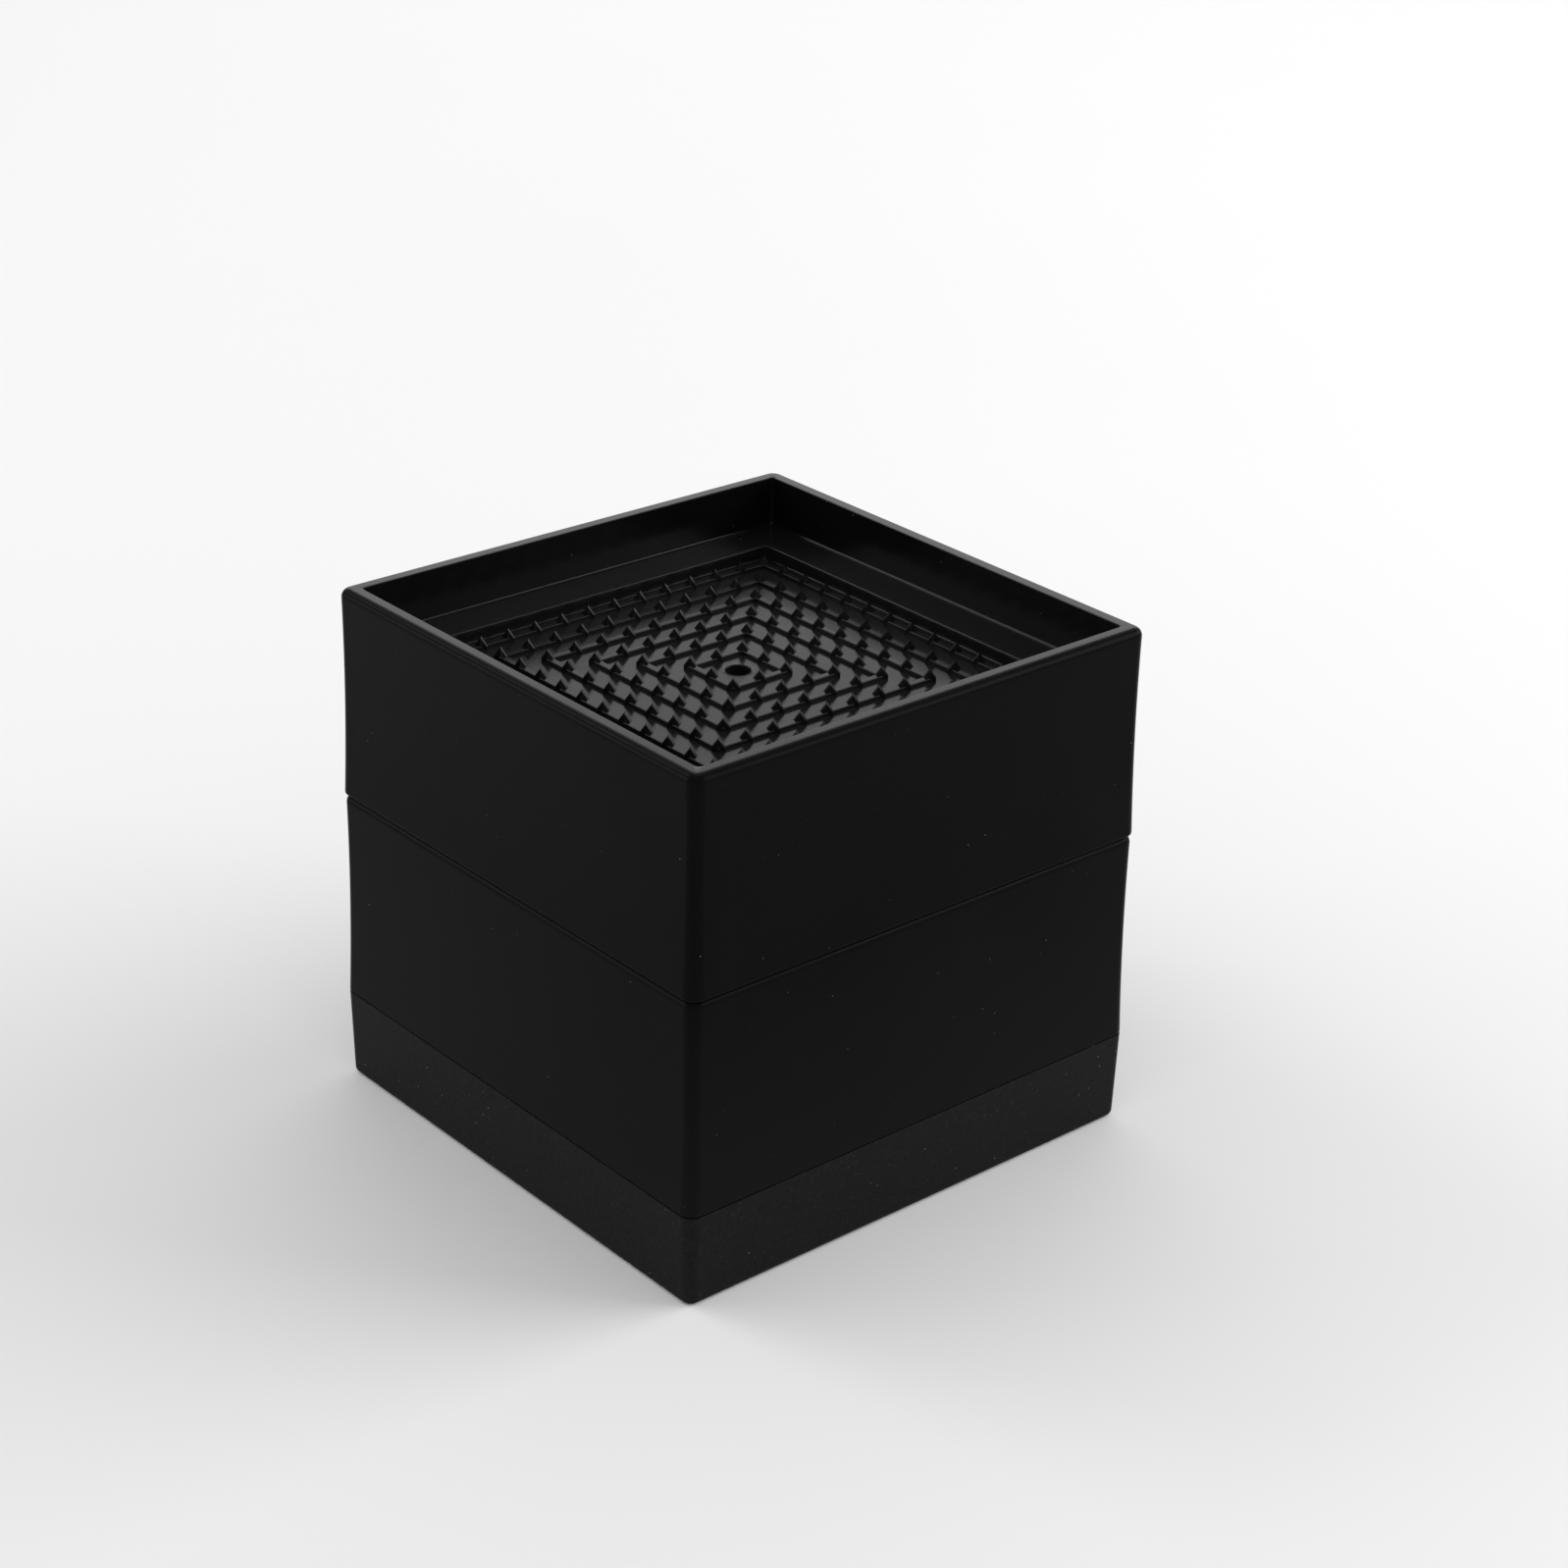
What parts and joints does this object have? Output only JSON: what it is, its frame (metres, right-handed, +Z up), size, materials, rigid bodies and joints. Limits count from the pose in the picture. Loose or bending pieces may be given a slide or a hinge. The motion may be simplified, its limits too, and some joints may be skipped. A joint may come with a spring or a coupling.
{
  "type": "bed riser",
  "caption": "Square black bed riser: stacked hollow plastic blocks with a toothed tray on top for the bed leg, standing on a non-slip rubber foot.",
  "frame": {"origin": "on the floor, under the middle of the square foot", "axes": "+Z up through the tray; X and Y square to the sides, so the corner nearest the viewer in the picture is at -X and -Y"},
  "size_m": [0.1276, 0.1276, 0.1215],
  "materials": {
    "riser_plastic": "satin black moulded plastic with faint scuffs and dust",
    "foot_rubber": "matte dark grey-black rubber, a little dusty"
  },
  "bodies": {
    "root": {"upper_riser": "riser_plastic", "lower_riser": "riser_plastic", "base_foot": "foot_rubber"}
  },
  "joints": []
}
